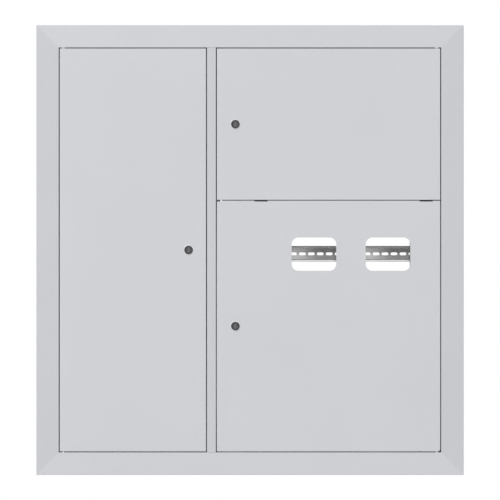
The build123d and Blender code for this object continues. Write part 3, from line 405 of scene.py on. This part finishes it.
def make_piece(name, grids, finish, body, stands_for=(), ring=False):
    """A mesh over grids of points, each a closed surface: columns run round, rows run along.

    A ring's rows run round too. Otherwise the first and last rows each meet in one point.
    """
    copies, rows, columns = grids.shape[:3]
    row = np.arange(rows if ring else rows - 1)[:, None]
    column = np.arange(columns)[None, :]
    next_row, next_column = (row + 1) % rows, (column + 1) % columns
    quads = np.stack([row * columns + column, row * columns + next_column,
                      next_row * columns + next_column, next_row * columns + column], axis=-1)
    quads = quads.reshape(1, -1, 4) + np.arange(copies)[:, None, None] * rows * columns
    mesh = bpy.data.meshes.new(name)
    mesh.from_pydata(grids.reshape(-1, 3).tolist(), [], quads.reshape(-1, 4).tolist())
    shell = bmesh.new()
    shell.from_mesh(mesh)
    bmesh.ops.remove_doubles(shell, verts=shell.verts, dist=MERGE_DISTANCE)
    bmesh.ops.recalc_face_normals(shell, faces=shell.faces)
    shell.to_mesh(mesh)
    shell.free()
    mesh.polygons.foreach_set("use_smooth", np.ones(len(mesh.polygons), dtype=bool))
    mesh.set_sharp_from_angle(angle=SHARP_ANGLE)
    mesh.materials.append(finish)
    piece = bpy.data.objects.new(name, mesh)
    bpy.context.scene.collection.objects.link(piece)
    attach(piece, body)
    if stands_for:
        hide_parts(*stands_for)


def smooth(x):
    """0 below 0, 1 above 1, and 3x^2 - 2x^3 between."""
    x = np.clip(x, 0, 1)
    return x * x * (3 - 2 * x)


def rear_middles(boxes):
    """The middle of each box's rear face, where a fitting that points to the front is seated."""
    places = boxes.mean(axis=1)
    places[:, 1] = boxes[:, 1, 1]
    return places


def copies_at(grid, places):
    """One grid repeated at each of several places."""
    return grid[None] + np.asarray(places)[:, None, None]


def screw_grids(boxes, slotted=False):
    """Screws that fill CAD boxes: shank, head and a drive recess sunk in the crown.

    The recess is deepest where the point lies within half the recess width of either axis, or
    of the upright axis only in a slotted head.
    """
    low, high = boxes[0]
    head = (high[0] - low[0]) / 2
    length = high[1] - low[1]
    crown = min(CROWN_SHARE * head, 0.5 * length)
    shank = SHANK_SHARE * head
    underside = length - crown - UNDER_RIM * crown
    rim = length - crown + OVER_RIM * crown
    side = rounded([(0, 0), (shank, 0), (shank, underside), (head, underside), (head, rim)],
                   HEAD_ROUND / 2)
    top = np.linspace(head - HEAD_ROUND, 0, DOME_ROWS)
    dome = np.stack([top, rim + (length - rim) * np.sqrt(1 - (top / head) ** 2)], axis=-1)
    grid = turned(np.vstack([side, dome]))
    x, z = np.abs(grid[..., 0]), np.abs(grid[..., 2])
    across, along = (x, z) if slotted else (np.minimum(x, z), np.maximum(x, z))
    reach = head if slotted else RECESS_REACH * head
    sunk = smooth((RECESS_WIDTH / 2 - across) / RECESS_EDGE + 0.5)
    sunk *= smooth((reach - along) / RECESS_EDGE + 0.5)
    on_dome = grid[..., 1] < -rim
    grid[..., 1] += np.where(on_dome, sunk * min(RECESS_DEPTH, 0.8 * crown), 0)
    return copies_at(grid, rear_middles(boxes))


for screw_node in ("panel_screws", "plate_screws", "rail_screws"):
    make_piece(screw_node + "_cross_heads", screw_grids(solids_of(screw_node)), bright_zinc,
               "casing", [screw_node])

# Terminal bars: drawn brass, left plain, on holders moulded blue for neutral and green for
# earth, with slotted clamping screws.
BLUE_HOLDER = (40, 88, 150)
GREEN_HOLDER = (46, 128, 72)
DRAW_LINES = (0.08, 1.0, 1.0)


def recolour_below(finish, axis, level, colour):
    """Gives a finish another colour where the object coordinate on an axis is below a level."""
    tree = finish.node_tree
    shader = tree.nodes["Principled BSDF"]
    place = tree.nodes.new("ShaderNodeTexCoord")
    axes = tree.nodes.new("ShaderNodeSeparateXYZ")
    tree.links.new(place.outputs["Object"], axes.inputs["Vector"])
    below = tree.nodes.new("ShaderNodeMath")
    below.operation = "LESS_THAN"
    below.inputs[1].default_value = level
    tree.links.new(axes.outputs[axis], below.inputs[0])
    choice = tree.nodes.new("ShaderNodeMix")
    choice.data_type = "RGBA"
    choice.inputs["B"].default_value = colour_of(*colour)
    tree.links.new(below.outputs["Value"], choice.inputs["Factor"])
    tree.links.new(shader.inputs["Base Color"].links[0].from_socket, choice.inputs["A"])
    tree.links.new(choice.outputs["Result"], shader.inputs["Base Color"])


drawn_brass = grained_finish("drawn_brass", (178, 157, 110), (205, 185, 136), cell=0.006,
                             rough=(0.28, 0.4), bump=0.000008, bump_cell=0.0005, metal=0.95,
                             stretch=DRAW_LINES)
dress(drawn_brass, "neutral_bar", "earth_bar")
holder_moulding = grained_finish("holder_moulding", BLUE_HOLDER, shade(BLUE_HOLDER, 8), cell=0.01,
                                 rough=(0.4, 0.5), bump=0.00001, bump_cell=0.0008)
between_bars = (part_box("neutral_bar")[0][2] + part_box("earth_bar")[1][2]) / 2
recolour_below(holder_moulding, "Z", between_bars, GREEN_HOLDER)
dress(holder_moulding, "bar_holders")
make_piece("bar_clamp_screws", screw_grids(solids_of("bar_screws"), slotted=True), bright_zinc,
           "casing", ["bar_screws"])

# Grommets: black rubber rings moulded with two rounded lips, pulled into the dividers' cable
# holes so that the groove between the lips grips the sheet.
SHEET = 0.0012
GROMMET_WALL = 0.0065
GROMMET_LIP = 0.0035
GROMMET_ROUND = 0.0011
RUBBER_COLUMNS = 64
black_rubber = grained_finish("black_rubber", (32, 32, 33), (44, 44, 45), cell=0.004,
                              rough=(0.62, 0.75), bump=0.00002, bump_cell=0.0006)
grommet_grids = []
for low, high in solids_of("grommets"):
    axis = int(np.argmin(high - low))
    outer = (high - low).max() / 2
    half = (high - low)[axis] / 2
    bore, seat = outer - GROMMET_WALL, outer - GROMMET_LIP
    grommet = turned(rounded([(bore, -half), (outer, -half), (outer, -SHEET / 2), (seat, -SHEET / 2),
                              (seat, SHEET / 2), (outer, SHEET / 2), (outer, half), (bore, half)],
                             GROMMET_ROUND, closed=True), RUBBER_COLUMNS)
    if axis == 0:
        grommet = grommet[..., [1, 0, 2]]
    elif axis == 2:
        grommet = grommet[..., [0, 2, 1]]
    grommet_grids.append(grommet + (low + high) / 2)
make_piece("cable_grommets", np.array(grommet_grids), black_rubber, "casing",
           ["grommets"], ring=True)

# Riser trims: rubber edge strip pushed over the edges of the riser ways, a U whose lips lap the
# sheet on both sides.
TRIM_WALL = 0.0018
TRIM_LAP = 0.003
TRIM_ROUND = 0.0009
RISER_ROUND = 0.008


def edge_strip(half_width, half_depth, radius, profile, steps=9):
    """A profile of (offset, height) carried round the edge of a rounded rectangle.

    In each corner x = corner centre + (radius + offset) cos(angle), y the same with the sine,
    and z = height, with the angle going through a quarter turn.
    """
    angle = ((np.arange(4)[:, None] + np.linspace(0, 1, steps)) * np.pi / 2).ravel()
    centre = np.array([(1, 1), (-1, 1), (-1, -1), (1, -1)]) * (half_width - radius, half_depth - radius)
    centre = np.repeat(centre, steps, axis=0)
    reach, height = radius + profile[:, 0][:, None], profile[:, 1][:, None]
    return np.stack([centre[:, 0] + reach * np.cos(angle), centre[:, 1] + reach * np.sin(angle),
                     height + 0 * angle], axis=-1)


trim_boxes = solids_of("riser_trims")
trim_low, trim_high = trim_boxes[0]
trim_half = (trim_high - trim_low) / 2
trim_profile = rounded([(-TRIM_WALL, -trim_half[2]), (TRIM_LAP, -trim_half[2]), (TRIM_LAP, -SHEET / 2),
                        (0, -SHEET / 2), (0, SHEET / 2), (TRIM_LAP, SHEET / 2),
                        (TRIM_LAP, trim_half[2]), (-TRIM_WALL, trim_half[2])], TRIM_ROUND,
                       closed=True)
trim = edge_strip(trim_half[0] - TRIM_LAP, trim_half[1] - TRIM_LAP, RISER_ROUND, trim_profile)
make_piece("riser_edge_strips", copies_at(trim, trim_boxes.mean(axis=1)), black_rubber,
           "casing", ["riser_trims"], ring=True)

# Door buffers: rubber studs pulled into holes of the door stops, with a neck in the sheet and
# a tapered head that the door closes on.
BARB_SHARE = 0.8
NECK_SHARE = 0.55
TAPER_SHARE = 0.6
BUFFER_ROUND = 0.0006
BUFFER_COLUMNS = 32
buffer_boxes = solids_of("door_buffers")
buffer_low, buffer_high = buffer_boxes[0]
buffer_radius = (buffer_high[0] - buffer_low[0]) / 2
buffer_length = buffer_high[1] - buffer_low[1]
buffer_barb = BARB_SHARE * buffer_radius
buffer_neck = NECK_SHARE * buffer_radius
taper_start = 2 * SHEET + TAPER_SHARE * (buffer_length - 2 * SHEET)
buffer_profile = rounded([(0, 0), (buffer_barb, 0), (buffer_barb, SHEET), (buffer_neck, SHEET),
                          (buffer_neck, 2 * SHEET), (buffer_radius, 2 * SHEET),
                          (buffer_radius, taper_start), (TAPER_SHARE * buffer_radius, buffer_length),
                          (0, buffer_length)], BUFFER_ROUND)
make_piece("rubber_door_buffers",
           copies_at(turned(buffer_profile, BUFFER_COLUMNS), rear_middles(buffer_boxes)),
           black_rubber, "casing", ["door_buffers"])

# Hinge bushes: moulded in natural nylon and pressed into the top strip, where the doors' top
# pins turn in them.
nylon = grained_finish("natural_nylon", (226, 226, 222), (236, 236, 232), cell=0.004,
                       rough=(0.4, 0.5), bump=0.00001, bump_cell=0.0006)
dress(nylon, "hinge_bushes")

# Window panes: clear acrylic sheet with polished faces. Each face mirrors a twentieth of the
# light and lets the rest through, so that the rails behind are lit by the lamps.
clear_sheet = bpy.data.materials.new("clear_acrylic")
clear_sheet.use_nodes = True
clear_shader = clear_sheet.node_tree.nodes["Principled BSDF"]
clear_shader.inputs["Base Color"].default_value = (0.97, 0.98, 0.98, 1.0)
clear_shader.inputs["Metallic"].default_value = 1.0
clear_shader.inputs["Roughness"].default_value = 0.03
clear_shader.inputs["Alpha"].default_value = 0.05
dress(clear_sheet, "window_panes")

# Locks: a die-cast housing under black lacquer with a threaded barrel, held by a hexagon nut
# behind the door, and a bright ring pressed round its head.
HEAD_RADIUS = 0.0095
HEAD_HEIGHT = 0.0022
RING_RADIUS = 0.0118
RING_HEIGHT = 0.0007
BORE_RADIUS = 0.00665
BARREL_RADIUS = 0.008
BARREL_LENGTH = 0.019
THREAD_PITCH = 0.001
THREAD_HEIGHT = 0.0003
THREAD_RUNOUT = 0.0025
THREAD_ROWS = 6
LOCK_CHAMFER = 0.0005
EDGE_BEVEL = 0.0006
EDGE_ROUND = 0.0004
NUT_WIDTH = 0.022
NUT_HEIGHT = 0.005
NUT_CONE = 0.16
LOCK_COLUMNS = 64
DOORS = ("left", "upper", "lower")


def hexagon_nut(width, height, bore, columns=72):
    """A nut with chamfered corners, its axis to the front and its rear face on y = 0.

    Its radius is the hexagon's, half the width over the cosine of the angle from the nearest
    flat, but no more than a cone allows near either face.
    """
    angle = np.arange(columns) * 2 * np.pi / columns
    flat = (angle + np.pi / 6) % (np.pi / 3) - np.pi / 6
    level = np.linspace(0, 1, 13)[:, None]
    cone = width / 2 * (1.0 + NUT_CONE * smooth(6 * np.minimum(level, 1 - level)))
    radius = np.minimum(width / 2 / np.cos(flat), cone)
    side = np.stack([radius * np.cos(angle), -level * height + 0 * angle, radius * np.sin(angle)], axis=-1)
    hole = turned(np.array([(bore, height), (bore, 0.0)]), columns)
    return np.concatenate([side, hole])


def threaded(radius, start, end, pitch, depth, columns):
    """A screw thread about the front axis: the radius falls and rises once in each pitch.

    The radius at an angle is the crest less the depth times the distance, in half pitches,
    from the helix height = pitch (turns + angle / full turn).
    """
    level = np.linspace(start, end, int(abs(end - start) / pitch * THREAD_ROWS) + 1)[:, None]
    angle = np.arange(columns) * 2 * np.pi / columns
    turn = (level / pitch - angle / (2 * np.pi)) % 1.0
    local = radius - depth * np.abs(2 * turn - 1)
    return np.stack([local * np.cos(angle), -level + 0 * angle, local * np.sin(angle)], axis=-1)


lock_lacquer = grained_finish("lock_lacquer", (58, 58, 60), (70, 70, 72), cell=0.003,
                              rough=(0.36, 0.46), bump=0.00001, bump_cell=0.0005, metal=0.2)
ring_nickel = grained_finish("ring_nickel", (214, 215, 217), (222, 223, 225), cell=0.003,
                             rough=(0.4, 0.5), bump=0.000005, bump_cell=0.0004, metal=0.25)
thread_root = BARREL_RADIUS - THREAD_HEIGHT
thread_start = LOCK_CHAMFER - BARREL_LENGTH
housing_rear = turned(rounded([(BORE_RADIUS, HEAD_HEIGHT - LOCK_CHAMFER), (BORE_RADIUS, -BARREL_LENGTH),
                               (thread_root, -BARREL_LENGTH), (thread_root, thread_start)],
                              EDGE_ROUND / 2), LOCK_COLUMNS)
housing_thread = threaded(BARREL_RADIUS, thread_start, -THREAD_RUNOUT, THREAD_PITCH, THREAD_HEIGHT,
                          LOCK_COLUMNS)
housing_front = turned(rounded([(BARREL_RADIUS, -THREAD_RUNOUT), (BARREL_RADIUS, 0.0),
                                (HEAD_RADIUS, 0.0), (HEAD_RADIUS, HEAD_HEIGHT - EDGE_ROUND),
                                (HEAD_RADIUS - EDGE_BEVEL, HEAD_HEIGHT),
                                (BORE_RADIUS + LOCK_CHAMFER, HEAD_HEIGHT)], EDGE_ROUND), LOCK_COLUMNS)
housing = np.concatenate([housing_rear, housing_thread, housing_front])
ring = turned(rounded([(HEAD_RADIUS, 0.0), (RING_RADIUS, 0.0), (RING_RADIUS, 0.4 * RING_HEIGHT),
                       (RING_RADIUS - EDGE_BEVEL, RING_HEIGHT), (HEAD_RADIUS, RING_HEIGHT)],
                      0.75 * EDGE_ROUND, closed=True), LOCK_COLUMNS)
nut = hexagon_nut(NUT_WIDTH, NUT_HEIGHT, thread_root)
for side in DOORS:
    housing_low, housing_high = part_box(side + "_lock_housing")
    lock_middle = (housing_low + housing_high) / 2
    lock_place = (lock_middle[0], FACE_Y, lock_middle[2])
    nut_place = (lock_middle[0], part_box(side + "_lock_nut")[1][1], lock_middle[2])
    make_piece(side + "_lock_head", copies_at(housing, [lock_place]), lock_lacquer,
               side + "_door", [side + "_lock_housing"], ring=True)
    make_piece(side + "_lock_ring", copies_at(ring, [lock_place]), ring_nickel,
               side + "_door", ring=True)
    make_piece(side + "_lock_hexagon_nut", copies_at(nut, [nut_place]), bright_zinc,
               side + "_door", [side + "_lock_nut"], ring=True)

# Lock cores: turned steel under a black finish. A key fits over the raised bar on the front,
# whose top is a little paler.
BAR_GREY = (104, 104, 106)
BAR_RISE = 0.0006
core_steel = grained_finish("core_steel", (84, 84, 86), (92, 92, 94), cell=0.002, rough=(0.34, 0.44),
                            bump=0.00001, bump_cell=0.0004, metal=0.3)
recolour_below(core_steel, "Y", FACE_Y - BAR_RISE, BAR_GREY)
dress(core_steel, "left_lock_core", "upper_lock_core", "lower_lock_core")

# Earth stud: a threaded steel stud welded to the right wall of the casing, with two nuts that
# clamp the lugs of the earth leads between them.
EARTH_PITCH = 0.00125
EARTH_THREAD = 0.0006
EARTH_CHAMFER = 0.0012
STUD_CHAMFER = 0.0004
stud_boxes = solids_of("earth_stud")
stud_order = np.argsort(stud_boxes[:, 1, 1] - stud_boxes[:, 0, 1])
stud_low, stud_high = stud_boxes[stud_order[0]]
stud_radius = (stud_high[1] - stud_low[1]) / 2
stud_length = stud_high[0] - stud_low[0]
stud = np.concatenate([turned(np.array([(0.0, 0.0), (stud_radius - STUD_CHAMFER, 0.0)])),
                       threaded(stud_radius, 0.0, stud_length - EARTH_THREAD, EARTH_PITCH,
                                EARTH_THREAD, SCREW_COLUMNS),
                       turned(np.array([(stud_radius - EARTH_CHAMFER, stud_length),
                                        (0.0, stud_length)]))])
stud_place = (stud_high[0], *((stud_low + stud_high) / 2)[1:])
make_piece("threaded_earth_stud", copies_at(stud[..., [1, 0, 2]], [stud_place]), bright_zinc,
           "casing", ["earth_stud"])
earth_nuts = []
for low, high in stud_boxes[stud_order[1:]]:
    earth_nut = hexagon_nut(high[2] - low[2], high[0] - low[0], stud_radius)[..., [1, 0, 2]]
    earth_nuts.append(earth_nut + [high[0], *((low + high) / 2)[1:]])
make_piece("earth_stud_nuts", np.array(earth_nuts), bright_zinc, "casing",
           ring=True)

# Pane fixings: studs welded to the door skin, each with a nut that presses the strip against the
# pane.
PANE_STUD_RADIUS = 0.0015
PANE_PITCH = 0.0005
PANE_THREAD = 0.0003
PANE_NUT_HEIGHT = 0.002
PANE_NUT_GAP = 0.0004
PANE_COLUMNS = 24
pane_stud_boxes = solids_of("pane_studs")
pane_low, pane_high = pane_stud_boxes[0]
pane_stud_length = pane_high[1] - pane_low[1]
pane_stud_places = rear_middles(pane_stud_boxes)
pane_stud = np.concatenate([turned(np.array([(0.0, 0.0), (PANE_STUD_RADIUS - STUD_CHAMFER, 0.0)]),
                                   PANE_COLUMNS),
                            threaded(PANE_STUD_RADIUS, PANE_THREAD, pane_stud_length, PANE_PITCH,
                                     PANE_THREAD, PANE_COLUMNS),
                            turned(np.array([(0.0, pane_stud_length)]), PANE_COLUMNS)])
make_piece("pane_threaded_studs", copies_at(pane_stud, pane_stud_places), bright_zinc,
           "lower_door", ["pane_studs"])
pane_nut = hexagon_nut(pane_high[2] - pane_low[2], PANE_NUT_HEIGHT, PANE_STUD_RADIUS - 0.0002)
make_piece("pane_stud_nuts", copies_at(pane_nut, pane_stud_places - [0.0, PANE_NUT_GAP, 0.0]),
           bright_zinc, "lower_door", ring=True)

# Door earthing: the stud welded inside each door carries a toothed washer under a nut, ready
# for the earth lead.
DOOR_STUD_FROM_HINGE_EDGE = 0.038
DOOR_STUD_RISE = 0.04
DOOR_STUD_RADIUS = 0.003
WASHER_RADIUS = 0.0056
WASHER_HEIGHT = 0.0008
WASHER_ROUND = 0.0002
WASHER_TEETH = 16
TOOTH_SHARE = 0.05
WASHER_COLUMNS = 96
DOOR_NUT_WIDTH = 0.01
DOOR_NUT_HEIGHT = 0.005
washer = turned(rounded([(DOOR_STUD_RADIUS, 0.0), (WASHER_RADIUS, 0.0), (WASHER_RADIUS, WASHER_HEIGHT),
                         (DOOR_STUD_RADIUS, WASHER_HEIGHT)], WASHER_ROUND, closed=True),
                WASHER_COLUMNS)
washer_angle = np.arange(WASHER_COLUMNS) * 2 * np.pi / WASHER_COLUMNS
teeth = 1 + TOOTH_SHARE * np.cos(WASHER_TEETH * washer_angle)
outside = np.hypot(washer[..., 0], washer[..., 2]) > 0.9 * WASHER_RADIUS
washer[..., [0, 2]] *= np.where(outside, teeth, 1.0)[..., None]
door_nut = hexagon_nut(DOOR_NUT_WIDTH, DOOR_NUT_HEIGHT, DOOR_STUD_RADIUS)
skin_back = FACE_Y + SHEET
for side in DOORS:
    door_low, door_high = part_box(side + "_door")
    stud_x = door_low[0] + DOOR_STUD_FROM_HINGE_EDGE
    if side != "left":
        stud_x = door_high[0] - DOOR_STUD_FROM_HINGE_EDGE
    washer_place = np.array([stud_x, skin_back + WASHER_HEIGHT, door_low[2] + DOOR_STUD_RISE])
    door_nut_place = washer_place + [0.0, DOOR_NUT_HEIGHT, 0.0]
    make_piece(side + "_door_earth_washer", copies_at(washer, [washer_place]), bright_zinc,
               side + "_door", ring=True)
    make_piece(side + "_door_earth_nut", copies_at(door_nut, [door_nut_place]), bright_zinc,
               side + "_door", ring=True)

# Spot welds: shallow marks of the electrodes, a raised rim round a dished middle, a little
# duller than the zinc round them.
WELD_RADIUS = 0.003
WELD_RIM = 0.00015
WELD_ROUND = 0.0003
HAT_LIP = 0.012
WELD_SPREAD = 0.007
WELD_COLUMNS = 32
STIFFENER_STEP = 0.08
STIFFENER_END = 0.008
weld_burn = grained_finish("weld_burn", (140, 141, 143), (158, 159, 161), cell=0.002, rough=(0.5, 0.6),
                           bump=0.00001, bump_cell=0.0004, metal=0.7)
weld_mark = turned(rounded([(0, 0), (WELD_RADIUS, 0), (0.85 * WELD_RADIUS, WELD_RIM),
                            (0.6 * WELD_RADIUS, WELD_RIM), (0.4 * WELD_RADIUS, 0.2 * WELD_RIM),
                            (0, 0.2 * WELD_RIM)], WELD_ROUND), WELD_COLUMNS)
weld_places = []
for upright_node in ("meter_uprights", "module_uprights"):
    for low, high in solids_of(upright_node):
        for rail_low, rail_high in solids_of("right_cross_rails"):
            rail_z = (rail_low[2] + rail_high[2]) / 2
            if low[2] < rail_z < high[2]:
                weld_places += [(x, high[1] - SHEET, rail_z + shift)
                                for x in (low[0] + HAT_LIP / 2, high[0] - HAT_LIP / 2)
                                for shift in (-WELD_SPREAD, WELD_SPREAD)]
make_piece("upright_spot_welds", copies_at(weld_mark, weld_places), weld_burn,
           "casing")
stiffener_low, stiffener_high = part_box("left_door_stiffener")
stiffener_z = np.arange(stiffener_low[2] + STIFFENER_END, stiffener_high[2], STIFFENER_STEP)
stiffener_x = np.array([stiffener_low[0] + HAT_LIP / 2, stiffener_high[0] - HAT_LIP / 2])
stiffener_places = np.stack(np.broadcast_arrays(stiffener_x[:, None], stiffener_low[1] + SHEET,
                                                stiffener_z), axis=-1).reshape(-1, 3)
make_piece("stiffener_spot_welds", copies_at(weld_mark * [1, -1, 1], stiffener_places), weld_burn,
           "left_door")

# Bracket rivets: two domed steel rivets, zinc plated, set through the seam bracket's plate
# into the crossbar.
RIVET_RADIUS = 0.0024
RIVET_HEIGHT = 0.0012
RIVET_SPREAD = 0.0068
RIVET_ROWS = 9
RIVET_COLUMNS = 32
bracket_low, bracket_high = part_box("seam_hinge_bracket")
dome_radius = np.linspace(RIVET_RADIUS, 0, RIVET_ROWS)
dome_height = RIVET_HEIGHT * np.sqrt(1 - (dome_radius / RIVET_RADIUS) ** 2)
rivet = turned(np.vstack([[(0, 0)], np.stack([dome_radius, dome_height], axis=-1)]), RIVET_COLUMNS)
rivet_x, _, rivet_z = (bracket_low + bracket_high) / 2
rivet_places = [(rivet_x, bracket_high[1] - SHEET, rivet_z + shift)
                for shift in (-RIVET_SPREAD, RIVET_SPREAD)]
make_piece("bracket_rivets", copies_at(rivet, rivet_places), bright_zinc,
           "casing")
